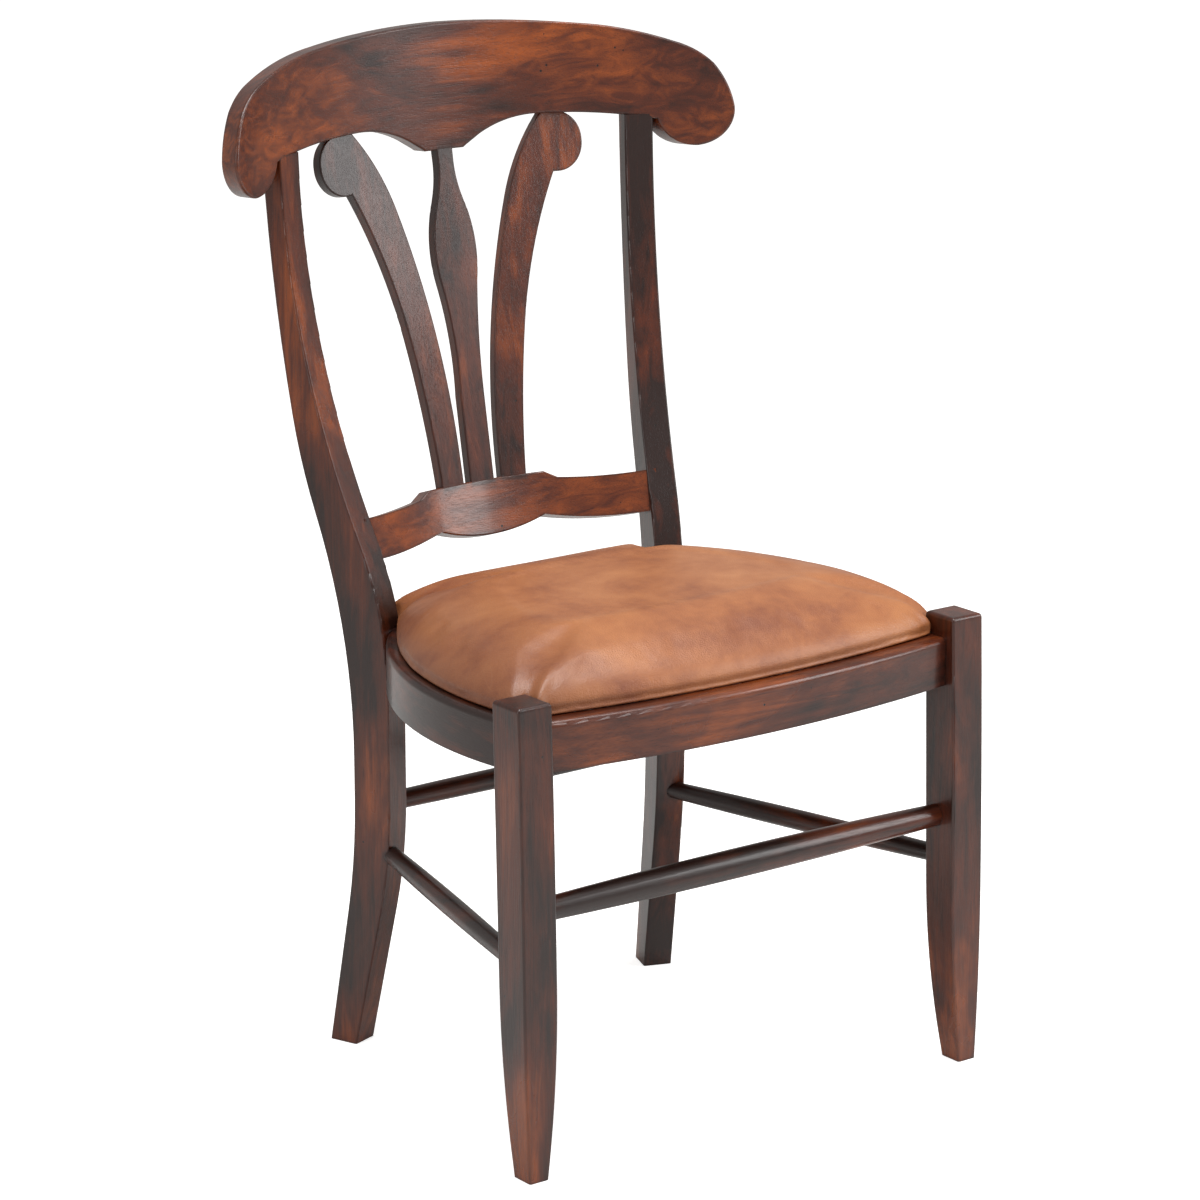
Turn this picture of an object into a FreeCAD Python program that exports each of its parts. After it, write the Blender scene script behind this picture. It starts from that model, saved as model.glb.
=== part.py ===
import FreeCAD, Part
import math
import os
import re
import Sketcher

# Farmhouse dining chair in stained hardwood. Square tapered legs stand at the front, sabre posts
# at the back run up to a scrolled crest rail, and three splats spread between them like a wheat
# sheaf. Bowed rails and turned stretchers join the legs, and a leather seat lies on the rails.
# Millimetres and degrees. X runs across, the front faces -Y and the feet stand on Z = 0.

doc = FreeCAD.newDocument("dining_chair")

SIZES = {
    # Whole chair
    "overall_depth": 570,
    "overall_height": 1027,
    # Front legs
    "leg_gap": 494,
    "leg_width": 39.5,
    "leg_depth": 42.5,
    "leg_height": 470,
    "leg_setout": 10,
    "leg_rake": 9.5,
    "leg_taper_height": 190,
    "foot_width": 22.5,
    "foot_depth": 27,
    "foot_set_in": 4.7,
    "leg_edge_radius": 2.5,
    "leg_top_radius": 4,
    # Rear posts
    "post_gap": 321.6,
    "post_width": 31,
    "post_turn": 20.2,
    "post_setback": 383.4,
    "post_foot_rake": 46,
    "post_foot_depth": 33,
    "post_sweep_height": 148,
    "post_knee_height": 270,
    "post_knee_depth": 44.5,
    "post_seat_straight": 115,
    "post_back_straight": 42,
    "post_bend_height": 536,
    "post_bend_rake": 33,
    "post_bend_depth": 49,
    "post_waist_height": 658,
    "post_waist_depth": 34,
    "post_top_depth": 24,
    "post_edge_radius": 2,
    # Crest rail
    "crest_half_width": 310,
    "crest_height": 130,
    "crest_thickness": 24,
    "crest_bow_radius": 555,
    "crest_lean": 4,
    "crest_lobe_width": 73,
    "crest_lobe_drop": 17.7,
    "crest_notch_rise": 13,
    "crest_arch_rise": 27.7,
    "crest_pendant_width": 54,
    "crest_edge_radius": 2.4,
    # Lower back rail
    "back_rail_thickness": 20,
    "back_rail_bow_radius": 360,
    "back_rail_lean": 18.3,
    "back_rail_height": 57.6,
    "back_rail_hump_width": 146,
    "back_rail_hump_drop": 9,
    "back_rail_belly_width": 132.6,
    "back_rail_belly_depth": 10.8,
    "back_rail_setback": 6.6,
    "back_rail_drop": 30.7,
    "back_rail_housing": 10,
    "back_rail_edge_radius": 1.6,
    # Splats
    "splat_thickness": 12,
    "splat_setback": 1.5,
    "splat_housing": 10,
    "splat_foot_width": 30,
    "splat_urn_width": 53,
    "splat_neck_width": 20,
    "side_splat_spacing": 38,
    "side_splat_reach": 118.6,
    "side_splat_turn": 7,
    "scroll_radius": 30.2,
    "splat_edge_radius": 1.6,
    # Seat frame
    "frame_height": 448,
    "rail_width": 49,
    "rail_thickness": 24,
    "front_rail_radius": 1300,
    "side_rail_reveal": 9,
    "side_rail_widest": 122.5,
    "rear_rail_thickness": 22,
    "rear_rail_setback": 17.6,
    "rail_top_radius": 6,
    # Joints of the frame
    "tenon_thickness": 11,
    "tenon_width": 30,
    "tenon_length": 20,
    "short_tenon": 12,
    "rail_housing": 6.5,
    "crest_tenon_height": 28,
    # Stretchers
    "front_stretcher_height": 260,
    "front_stretcher_set_in": 26,
    "front_stretcher_diameter": 29.5,
    "front_stretcher_end": 22.5,
    "side_stretcher_height": 211,
    "side_stretcher_set_in": 10.5,
    "side_stretcher_diameter": 21.5,
    "side_stretcher_end": 18,
    "rear_stretcher_height": 259,
    "rear_stretcher_setback": 21.6,
    "rear_stretcher_diameter": 22,
    "rear_stretcher_end": 19.5,
    "round_tenon_diameter": 14,
    "round_tenon_length": 16,
    "stretcher_housing": 2.5,
    # Upholstered seat
    "seat_front_reveal": 15,
    "seat_side_reveal": 8.5,
    "seat_rear_lap": 12,
    "seat_clearance": 1,
    "seat_edge_height": 20,
    "seat_bulge": 3,
    "seat_crown": 31,
    "leather_thickness": 2,
    "soft_clearance": 0.3,
    "leather_turnunder": 34,
    "board_thickness": 12,
    "board_set_in": 9,
    "dust_cover_thickness": 0.8,
    # Corner blocks and screws
    "block_reach": 66,
    "block_thickness": 20,
    "block_height": 34,
    "block_drop": 6,
    "bolt_diameter": 6,
    "bolt_head_diameter": 12,
    "bolt_bite": 14,
    "screw_diameter": 4.5,
    "screw_head_diameter": 9,
    "screw_bite": 9,
}

sheet = doc.addObject("Spreadsheet::Sheet", "Sizes")
for row, (word, number) in enumerate(SIZES.items(), start=1):
    sheet.set(f"A{row}", word)
    sheet.set(f"B{row}", str(number))
    sheet.setAlias(f"B{row}", word)
doc.recompute()


def bound(formula):
    """Give each size in a formula the name of the sheet that holds it."""
    return re.sub(r"[a-z_]+", lambda word: f"Sizes.{word[0]}" if word[0] in SIZES else word[0], str(formula))


def number(formula):
    return float(sheet.evalExpression(bound(formula)))


# Places that several pieces share, each worked out from the sizes
LEG_IN = "(leg_gap / 2)"
LEG_OUT = "(leg_gap / 2 + leg_width)"
RAIL_BOTTOM = "(frame_height - rail_width)"
FRONT_CENTRE = "(front_rail_radius - overall_depth / 2)"
RAIL_AT_LEG = f"({FRONT_CENTRE} - sqrt(front_rail_radius ^ 2 - (leg_gap / 2) ^ 2))"
LEG_FRONT = f"({RAIL_AT_LEG} - leg_setout)"
LEG_BACK = f"({LEG_FRONT} + leg_depth)"
LEG_BACK_LOW = f"({LEG_BACK} - leg_rake * 0.85)"
POST_Y = "(post_setback - overall_depth / 2)"
POST_X = "(post_gap / 2)"


def on_post(across, back):
    """Plan point measured from a post's inner front corner: across its width and back along it."""
    x = f"({POST_X} + ({across}) * cos(post_turn) + ({back}) * sin(post_turn))"
    y = f"({POST_Y} - ({across}) * sin(post_turn) + ({back}) * cos(post_turn))"
    return x, y


def post_frame(x, y):
    """The same plan frame the other way round: a point's place across and back."""
    across = f"((({x}) - {POST_X}) * cos(post_turn) - (({y}) - {POST_Y}) * sin(post_turn))"
    back = f"((({x}) - {POST_X}) * sin(post_turn) + (({y}) - {POST_Y}) * cos(post_turn))"
    return across, back


# The side rail's bow touches its widest line and ends at the post's outer front corner
SIDE_WIDEST = f"({LEG_OUT} - side_rail_reveal)"
SIDE_Y = "(side_rail_widest - overall_depth / 2)"
CORNER_X, CORNER_Y = on_post("post_width", "0")
SIDE_RADIUS = (
    f"((({SIDE_WIDEST} - {CORNER_X}) ^ 2 + ({CORNER_Y} - {SIDE_Y}) ^ 2) / (2 * ({SIDE_WIDEST} - {CORNER_X})))"
)
SIDE_X = f"({SIDE_WIDEST} - {SIDE_RADIUS})"
SIDE_ACROSS, SIDE_BACK = post_frame(SIDE_X, SIDE_Y)

# The crest leans back from its lower front edge, and the posts reach its front face
CREST_Y = "(overall_depth / 2 - crest_thickness * cos(crest_lean) - crest_height * sin(crest_lean))"
CREST_Z = "(overall_height - crest_height * cos(crest_lean))"
CREST_CENTRE = f"({POST_Y} + crest_bow_radius - {CREST_Y})"
ALONG_POST = f"({POST_X} * sin(post_turn) + {CREST_CENTRE} * cos(post_turn))"
POST_TOP_RAKE = (
    f"(sqrt({ALONG_POST} ^ 2 - {POST_X} ^ 2 - {CREST_CENTRE} ^ 2 + crest_bow_radius ^ 2) - {ALONG_POST})"
)
POST_TOP = f"({CREST_Z} + crest_notch_rise + 9)"

# The lower back rail crosses the posts a little behind their front faces at the bend
BACK_RAIL_END_X, BACK_RAIL_END_Y = on_post("0", "post_bend_rake + back_rail_setback")
BACK_RAIL_BOW = f"(back_rail_bow_radius - sqrt(back_rail_bow_radius ^ 2 - {BACK_RAIL_END_X} ^ 2))"
BACK_RAIL_Y = f"({BACK_RAIL_END_Y} + {BACK_RAIL_BOW} - back_rail_drop * tan(back_rail_lean))"
BACK_RAIL_Z = "(post_bend_height - back_rail_drop)"


def bowed(radius, x):
    """How far a bowed face has come forward at x."""
    return f"(({radius}) - sqrt(({radius}) ^ 2 - ({x}) ^ 2))"


def mirrored(points):
    """A symmetric outline from its right half, given from the bottom up."""
    left = []
    for index in range(len(points) - 1, -1, -1):
        x, y = points[index][:2]
        bend = points[index - 1][2:] if index > 0 else ()
        left.append((f"-({x})", y) + bend)
    if points[-1][0] == "0":
        left = [points[-1][:2] + points[-2][2:]] + left[1:]
        points = points[:-1]
    if left[-1][0] == "-(0)":
        left = left[:-1]
    return points + left


def outline(sketch, points):
    """Draw a closed outline. Each point is x, y and, where the edge after it is an arc, either
    the side its centre lies on with its radius, or the edge beside it that it is tangent to."""
    count = len(points)
    corners = [FreeCAD.Vector(number(point[0]), number(point[1]), 0) for point in points]
    headings = [None] * count
    arcs = {}
    while None in headings:
        for index, point in enumerate(points):
            if headings[index] is not None:
                continue
            start = corners[index]
            end = corners[(index + 1) % count]
            chord = end - start
            if len(point) == 2:
                headings[index] = (chord, chord)
                continue
            if point[2] in ("left", "right"):
                radius = number(point[3])
                side = 1 if point[2] == "left" else -1
            else:
                step = -1 if point[2] == "after" else 1
                beside = headings[(index + step) % count]
                if beside is None:
                    continue
                heading = FreeCAD.Vector(beside[1] if step < 0 else beside[0]).normalize()
                turn = (heading.x * chord.y - heading.y * chord.x) * -step
                side = 1 if turn > 0 else -1
                radius = chord.Length ** 2 / (2 * abs(turn))
            across = FreeCAD.Vector(-chord.y, chord.x, 0).normalize()
            rise = math.sqrt(max(radius ** 2 - chord.Length ** 2 / 4, 0))
            centre = (start + end) / 2 + across * (rise * side)
            arcs[index] = (centre, radius, side)
            spokes = [start - centre, end - centre]
            headings[index] = tuple(FreeCAD.Vector(-spoke.y * side, spoke.x * side, 0) for spoke in spokes)
    ends = []
    for index in range(count):
        start = corners[index]
        end = corners[(index + 1) % count]
        if index not in arcs:
            sketch.addGeometry(Part.LineSegment(start, end), False)
            ends.append((1, 2))
            continue
        centre, radius, side = arcs[index]
        first, last = (start, end) if side > 0 else (end, start)
        angles = [math.atan2(corner.y - centre.y, corner.x - centre.x) for corner in (first, last)]
        circle = Part.Circle(centre, FreeCAD.Vector(0, 0, 1), radius)
        sketch.addGeometry(Part.ArcOfCircle(circle, *angles), False)
        ends.append((1, 2) if side > 0 else (2, 1))
    base = sketch.GeometryCount - count
    for index, point in enumerate(points):
        here = base + index
        there = base + (index + 1) % count
        tangent = len(point) > 2 and point[2] == "before"
        following = points[(index + 1) % count]
        if tangent or (len(following) > 2 and following[2] == "after"):
            kind = "Tangent"
        else:
            kind = "Coincident"
        sketch.addConstraint(Sketcher.Constraint(kind, here, ends[index][1], there, ends[(index + 1) % count][0]))
        for axis, formula in (("DistanceX", point[0]), ("DistanceY", point[1])):
            if formula in ("0", "-(0)"):
                line = -2 if axis == "DistanceX" else -1
                sketch.addConstraint(Sketcher.Constraint("PointOnObject", here, ends[index][0], line))
                continue
            distance = Sketcher.Constraint(axis, -1, 1, here, ends[index][0], number(formula))
            place = sketch.addConstraint(distance)
            sketch.setExpression(f"Constraints[{place}]", bound(formula))
        if len(point) == 4:
            place = sketch.addConstraint(Sketcher.Constraint("Radius", here, number(point[3])))
            sketch.setExpression(f"Constraints[{place}]", bound(point[3]))


def block_of(label):
    return doc.addObject("PartDesign::Body", label)


def sketch_on(body, plane, level, *outlines):
    """A sketch on one of the body's own planes, moved out to a level along the plane's normal."""
    sketch = body.newObject("Sketcher::SketchObject", "outline")
    support = [feature for feature in body.Origin.OriginFeatures if feature.Role == f"{plane}_Plane"]
    sketch.AttachmentSupport = [(support[0], "")]
    sketch.MapMode = "FlatFace"
    sketch.setExpression("AttachmentOffset.Base.z", bound(level))
    for points in outlines:
        outline(sketch, points)
    return sketch


def padded(body, plane, level, length, points, side="One side", back=False):
    pad = body.newObject("PartDesign::Pad", "pad")
    pad.Profile = sketch_on(body, plane, level, points)
    pad.SideType = side
    pad.Reversed = back
    pad.setExpression("Length", bound(length))
    doc.recompute()
    return pad


def sawn(body, plane, points):
    """Saw the body to an outline seen square to a plane: all that lies outside it goes."""
    reach = "2 * overall_height"
    sheet_edge = [(f"-{reach}", f"-{reach}"), (reach, f"-{reach}"), (reach, reach), (f"-{reach}", reach)]
    pocket = body.newObject("PartDesign::Pocket", "sawn")
    pocket.Profile = sketch_on(body, plane, "0", sheet_edge, points)
    pocket.Type = "ThroughAll"
    pocket.SideType = "Symmetric"
    doc.recompute()
    return pocket


def eased(body, radius, chosen):
    """Round over the edges that a test picks."""
    last = body.Tip
    names = [f"Edge{place}" for place, edge in enumerate(last.Shape.Edges, start=1) if chosen(edge)]
    fillet = body.newObject("PartDesign::Fillet", "eased")
    fillet.Base = (last, names)
    fillet.setExpression("Radius", bound(radius))
    doc.recompute()
    return fillet


def placed(item, x, y, z, *turns):
    """Bind a piece's place and its turns, each an axis and an angle, to the sizes."""
    turns = turns or (("0; 0; 1", "0"),)
    rotation = " * ".join(f"rotation(vector({axis}); {angle})" for axis, angle in turns)
    item.setExpression("Placement", bound(f"placement(vector({x}; {y}; {z}); {rotation})"))
    doc.recompute()


pieces = []


def kept(item, label):
    item.Label = label
    pieces.append(item)
    return item


def fitted(base, tools, label=None):
    """The base with the room cut out of it that the other pieces take up."""
    for tool in tools:
        cut = doc.addObject("Part::Cut", "fitted")
        cut.Base = base
        cut.Tool = tool
        base = cut
    doc.recompute()
    return kept(base, label) if label else base


def opposite(item, label=None):
    """The same piece for the left side."""
    mirror = doc.addObject("Part::Mirroring", "opposite")
    mirror.Source = item
    mirror.Normal = (1, 0, 0)
    doc.recompute()
    return kept(mirror, label) if label else mirror


def rectangle(low_x, low_y, high_x, high_y):
    return [(low_x, low_y), (high_x, low_y), (high_x, high_y), (low_x, high_y)]


def upright(edge):
    box = edge.BoundBox
    return box.ZLength > 3 * max(box.XLength, box.YLength)


# Front leg: square to the taper, then drawn in on the inside and the back to a small foot
def front_leg():
    body = block_of("front_leg_blank")
    foot_out = f"({LEG_OUT} - foot_set_in)"
    front_view = [
        (f"{foot_out} - foot_width", "0"),
        (foot_out, "0", "before"),
        (LEG_OUT, "leg_taper_height"),
        (LEG_OUT, "leg_height"),
        (LEG_IN, "leg_height"),
        (LEG_IN, "leg_taper_height", "after"),
    ]
    padded(body, "XZ", "0", "2 * overall_depth", front_view, "Symmetric")
    foot_front = f"({LEG_FRONT} - leg_rake)"
    side_view = [
        (foot_front, "0"),
        (f"{foot_front} + foot_depth", "0", "before"),
        (LEG_BACK_LOW, "leg_taper_height"),
        (LEG_BACK, "leg_height"),
        (LEG_FRONT, "leg_height", "left", "(leg_height ^ 2 + leg_rake ^ 2) / (2 * leg_rake)"),
    ]
    sawn(body, "YZ", side_view)
    eased(body, "leg_edge_radius", upright)
    top = number("leg_height")
    eased(body, "leg_top_radius", lambda edge: edge.BoundBox.ZMin > top - 0.01)
    return body


# Rear post: a sabre foot, a straight stretch at the seat, and a long bend back up to the crest
def rear_post():
    body = block_of("rear_post_blank")
    side_view = [
        ("post_foot_rake", "0"),
        ("post_foot_rake + post_foot_depth", "0"),
        ("post_knee_depth + 9.5 / 44.5 * post_knee_depth", "post_sweep_height", "before"),
        ("post_knee_depth", "post_knee_height - 5"),
        ("post_knee_depth", "post_knee_height + post_back_straight", "after"),
        ("post_bend_rake + post_bend_depth + 6", "post_bend_height + 24", "after"),
        (f"{POST_TOP_RAKE} - 42 + post_waist_depth", "post_waist_height", "after"),
        (f"{POST_TOP_RAKE} + post_top_depth", POST_TOP),
        (POST_TOP_RAKE, POST_TOP, "before"),
        ("post_bend_rake", "post_bend_height", "before"),
        ("0", "post_knee_height + post_seat_straight"),
        ("0", "post_knee_height", "after"),
        ("post_foot_rake * 0.289", "post_sweep_height"),
    ]
    padded(body, "YZ", "0", "post_width", side_view)
    width = number("post_width")
    eased(body, "post_edge_radius", lambda edge: edge.BoundBox.XLength < 0.01 and upright(edge))
    tenon = rectangle("post_width / 2 - tenon_thickness / 2", f"{POST_TOP_RAKE} + 5",
                      "post_width / 2 + tenon_thickness / 2", f"{POST_TOP_RAKE} + post_top_depth - 7")
    padded(body, "XY", f"{POST_TOP} - 1", "crest_tenon_height", tenon)
    placed(body, POST_X, POST_Y, "0", ("0; 0; 1", "-post_turn"))
    return body


def bowed_board(body, radius, thickness, half_width, height, drop):
    """A board bent to a hollow front face, ready to be sawn to its outline."""
    back_radius = f"({radius} + {thickness})"
    plan = [
        (f"-({half_width})", f"-{bowed(radius, half_width)}", "right", radius),
        (half_width, f"-{bowed(radius, half_width)}"),
        (half_width, f"{thickness} - {bowed(back_radius, half_width)}", "left", back_radius),
        (f"-({half_width})", f"{thickness} - {bowed(back_radius, half_width)}"),
    ]
    padded(body, "XY", f"-({drop})", f"{height} + {drop}", plan)


def along_bow(body, radius, thickness, half_width):
    """A test for the long edges of a bowed board's two faces."""
    inner = number(radius)
    outer = inner + number(thickness)
    limit = number(half_width) - 1

    def chosen(edge):
        points = [edge.Vertexes[0].Point, edge.Vertexes[-1].Point]
        distances = [math.hypot(point.x, point.y + inner) for point in points]
        on_face = any(all(abs(distance - face) < 0.01 for distance in distances) for face in (inner, outer))
        inside = all(abs(point.x) < limit for point in points)
        return on_face and inside and edge.BoundBox.XLength > 0.5

    return chosen


# Crest rail: arched underneath, with a small pendant in the middle and a scrolled lobe at each end
def crest_rail():
    body = block_of("crest_blank")
    half_width = "crest_half_width + 10"
    bowed_board(body, "crest_bow_radius", "crest_thickness", half_width, "crest_height + 10", "crest_lobe_drop + 10")
    notch = "crest_half_width - crest_lobe_width"
    front_view = mirrored([
        ("crest_pendant_width / 2 - 3", "0"),
        ("crest_pendant_width / 2", "2"),
        ("crest_pendant_width / 2 + 17", "12", "right", "140"),
        ("crest_half_width * 0.361", "crest_arch_rise", "right", "655"),
        (notch, "crest_notch_rise", "left", "40"),
        ("crest_half_width - 35", "-crest_lobe_drop", "left", "37"),
        ("crest_half_width", "crest_height * 0.168", "left", "104"),
        ("crest_half_width - 17", "crest_height * 0.521", "left", "84"),
        ("crest_half_width - 52", "crest_height * 0.712", "left", "361"),
        ("crest_half_width * 0.516", "crest_height * 0.909", "left", "1249"),
        ("0", "crest_height"),
    ])
    sawn(body, "XZ", front_view)
    eased(body, "crest_edge_radius", along_bow(body, "crest_bow_radius", "crest_thickness", half_width))
    placed(body, "0", CREST_Y, CREST_Z, ("1; 0; 0", "-crest_lean"))
    return body


# Lower back rail: humped on top where the splats stand, with a shallow belly underneath
def lower_back_rail():
    body = block_of("back_rail_blank")
    half_width = "post_gap / 2 + 40"
    bowed_board(body, "back_rail_bow_radius", "back_rail_thickness", half_width, "back_rail_height + 10", "20")
    end = "post_gap / 2 + 30"
    belly = "back_rail_belly_width / 2"
    belly_radius = f"(({belly}) ^ 2 + back_rail_belly_depth ^ 2) / (2 * back_rail_belly_depth)"
    front_view = mirrored([
        ("0", "0", "left", belly_radius),
        (belly, "back_rail_belly_depth", "left", "420"),
        (end, "-6"),
        (end, "back_rail_height * 0.64", "right", "620"),
        ("back_rail_hump_width / 2 + 15", "back_rail_height - 2 - back_rail_hump_drop"),
        ("back_rail_hump_width / 2", "back_rail_height - 2", "left", "1480"),
        ("0", "back_rail_height"),
    ])
    sawn(body, "XZ", front_view)
    test = along_bow(body, "back_rail_bow_radius", "back_rail_thickness", end)
    eased(body, "back_rail_edge_radius", test)
    placed(body, "0", BACK_RAIL_Y, BACK_RAIL_Z, ("1; 0; 0", "-back_rail_lean"))
    return body


# Splats: flat boards that stand in the lower back rail and lean back into the crest's underside
SPLAT_Z = f"({BACK_RAIL_Z} + back_rail_height * cos(back_rail_lean) - splat_housing)"
RAIL_TOP_Y = f"({BACK_RAIL_Y} + back_rail_height * sin(back_rail_lean) - splat_housing * tan(back_rail_lean))"
SPLAT_REACH = f"({CREST_Z} + splat_housing - {SPLAT_Z})"


def splat_lean(x):
    low = f"({RAIL_TOP_Y} - {bowed('back_rail_bow_radius', x)})"
    high = f"({CREST_Y} + splat_housing * tan(crest_lean) - {bowed('crest_bow_radius', x)})"
    return f"atan2({high} - {low}; {SPLAT_REACH})"


def centre_splat():
    body = block_of("centre_splat_blank")
    height = f"({SPLAT_REACH} / cos({splat_lean('0')}))"
    foot = "splat_foot_width / 2"
    neck = "splat_neck_width / 2"
    urn = "splat_urn_width / 2 - 3.7"
    front_view = mirrored([
        (foot, "0"),
        (foot, f"{height} * 0.27", "after"),
        (urn, f"{height} * 0.595", "left", f"{height} * 0.428"),
        ("splat_urn_width / 2 - 10.6", f"{height} * 0.835", "right", f"{height} * 0.334"),
        (neck, f"{height} * 0.955"),
        (neck, height),
    ])
    padded(body, "XZ", "0", "splat_thickness", front_view, back=True)
    long_edge = lambda edge: edge.BoundBox.YLength < 0.01 and edge.BoundBox.XLength < edge.BoundBox.ZLength
    eased(body, "splat_edge_radius", long_edge)
    placed(body, "0", f"{RAIL_TOP_Y} + splat_setback", SPLAT_Z, ("1; 0; 0", f"-{splat_lean('0')}"))
    return body


def side_splat():
    body = block_of("side_splat_blank")
    height = f"({SPLAT_REACH} / cos({splat_lean('side_splat_spacing')}))"
    scroll = "side_splat_reach - scroll_radius"
    front_view = [
        ("-splat_foot_width / 2", "0"),
        ("splat_foot_width / 2", "0", "right", "1150"),
        ("splat_foot_width + 1", f"{height} * 0.455", "after"),
        (f"{scroll} - 6.6", f"{height} - 43", "left", "scroll_radius"),
        ("side_splat_reach", f"{height} - 12", "left", "scroll_radius"),
        (f"{scroll} + 10", f"{height} + 17.5"),
        (f"{scroll} + 10", f"{height} + 29"),
        (f"{scroll} - 9", f"{height} + 29"),
        (f"{scroll} - 21", f"{height} + 14", "before"),
        ("splat_foot_width - 4", f"{height} * 0.827", "before"),
        ("-splat_foot_width / 2", "32"),
    ]
    padded(body, "XZ", "0", "splat_thickness", front_view, back=True)
    eased(body, "splat_edge_radius", lambda edge: edge.BoundBox.YLength < 0.01 and edge.BoundBox.ZLength > 2)
    x = "side_splat_spacing"
    y = f"{RAIL_TOP_Y} + splat_setback - {bowed('back_rail_bow_radius', x)}"
    placed(body, x, y, SPLAT_Z, ("0; 0; 1", "-side_splat_turn"), ("1; 0; 0", f"-{splat_lean(x)}"))
    return body


# Seat rails: the front and side rails are bowed outwards, the rear one is straight
def tenon_pad(body, points):
    padded(body, "XY", f"{RAIL_BOTTOM} + (rail_width - tenon_width) / 2", "tenon_width", points)


def outer_top(test):
    top = number("frame_height")
    return lambda edge: edge.BoundBox.ZMin > top - 0.01 and test(edge)


def front_rail():
    body = block_of("front_rail_blank")
    back_radius = "(front_rail_radius - rail_thickness)"
    end_back = f"({FRONT_CENTRE} - sqrt({back_radius} ^ 2 - {LEG_IN} ^ 2))"
    plan = [
        (f"-{LEG_IN}", RAIL_AT_LEG, "left", "front_rail_radius"),
        (LEG_IN, RAIL_AT_LEG),
        (LEG_IN, end_back, "right", back_radius),
        (f"-{LEG_IN}", end_back),
    ]
    padded(body, "XY", RAIL_BOTTOM, "rail_width", plan)
    front = number(RAIL_AT_LEG)
    front_edge = outer_top(lambda edge: edge.BoundBox.XLength > 100 and edge.BoundBox.YMax < front + 0.01)
    eased(body, "rail_top_radius", front_edge)
    for side in ("", "-"):
        inner, outer = f"{side}({LEG_IN} - 4)", f"{side}({LEG_IN} + tenon_length)"
        low, high = f"{RAIL_AT_LEG} + 5", f"{RAIL_AT_LEG} + 5 + tenon_thickness"
        tenon_pad(body, rectangle(*((inner, low, outer, high) if side == "" else (outer, low, inner, high))))
    return body


def side_rail():
    body = block_of("side_rail_blank")
    inner = f"({SIDE_RADIUS} - rail_thickness)"
    leg_line = f"({LEG_BACK} - leg_rake * 0.3)"
    outer_front = f"({SIDE_X} + sqrt({SIDE_RADIUS} ^ 2 - ({leg_line} - {SIDE_Y}) ^ 2))"
    inner_front = f"({SIDE_X} + sqrt({inner} ^ 2 - ({leg_line} - {SIDE_Y}) ^ 2))"

    def at_post(radius):
        across = f"({SIDE_ACROSS} + sqrt({radius} ^ 2 - (rail_housing - {SIDE_BACK}) ^ 2))"
        return on_post(across, "rail_housing")

    plan = [
        (outer_front, leg_line, "left", SIDE_RADIUS),
        at_post(SIDE_RADIUS),
        at_post(inner) + ("right", inner),
        (inner_front, leg_line),
    ]
    padded(body, "XY", RAIL_BOTTOM, "rail_width", plan)
    widest = number(SIDE_WIDEST)
    eased(body, "rail_top_radius", outer_top(lambda edge: edge.BoundBox.XMax > widest - 0.5 and edge.Length > 100))
    middle = f"({inner_front} + rail_thickness / 2)"
    tenon_pad(body, rectangle(f"{middle} - tenon_thickness / 2", f"{leg_line} - short_tenon",
                              f"{middle} + tenon_thickness / 2", f"{leg_line} + 6"))
    first, last = "post_width / 2 - tenon_thickness / 2", "post_width / 2 + tenon_thickness / 2"
    tenon_pad(body, [on_post(first, "rail_housing - 3"), on_post(last, "rail_housing - 3"),
                     on_post(last, "rail_housing + short_tenon"), on_post(first, "rail_housing + short_tenon")])
    return body


REAR_FRONT = f"({POST_Y} + rear_rail_setback)"
REAR_BACK = f"({REAR_FRONT} + rear_rail_thickness)"


def inside_posts(y):
    return f"({POST_X} + ({y} - {POST_Y}) * tan(post_turn))"


def rear_rail():
    body = block_of("rear_rail_blank")
    front, back = inside_posts(REAR_FRONT), inside_posts(REAR_BACK)
    plan = [(f"-{front}", REAR_FRONT), (front, REAR_FRONT), (back, REAR_BACK), (f"-{back}", REAR_BACK)]
    padded(body, "XY", RAIL_BOTTOM, "rail_width", plan)
    low = f"{REAR_FRONT} + (rear_rail_thickness - tenon_thickness) / 2"
    reach = f"({front} + tenon_length - 4)"
    tenon_pad(body, rectangle(f"-{reach}", low, reach, f"{low} + tenon_thickness"))
    return body


# Stretchers: barrel turned, thickest in the middle, with a round tenon at each end
def stretcher(name, half_length, diameter, end_diameter):
    body = block_of(name)
    swell = f"(({diameter} - {end_diameter}) / 2)"
    shoulder = f"({half_length} + stretcher_housing)"
    bow = f"({shoulder} ^ 2 + {swell} ^ 2) / (2 * {swell})"
    end = f"({half_length} + round_tenon_length)"
    half_view = mirrored([
        (end, "0"),
        (end, "round_tenon_diameter / 2"),
        (shoulder, "round_tenon_diameter / 2"),
        (shoulder, f"{end_diameter} / 2", "left", bow),
        ("0", f"{diameter} / 2"),
    ])
    turned = body.newObject("PartDesign::Revolution", "turned")
    turned.Profile = sketch_on(body, "XZ", "0", half_view)
    turned.ReferenceAxis = (turned.Profile[0], ["H_Axis"])
    turned.Angle = 360
    doc.recompute()
    return body


# Upholstered seat: leather over foam over a plywood board, cut round the legs and the posts
SEAT_REAR = f"({REAR_FRONT} + seat_rear_lap)"
SEAT_FRONT_RADIUS = "(front_rail_radius - seat_front_reveal)"
SEAT_SIDE_RADIUS = f"({SIDE_RADIUS} - seat_side_reveal)"
POST_FACE = "(rail_housing - 1.5 - seat_clearance)"


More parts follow.
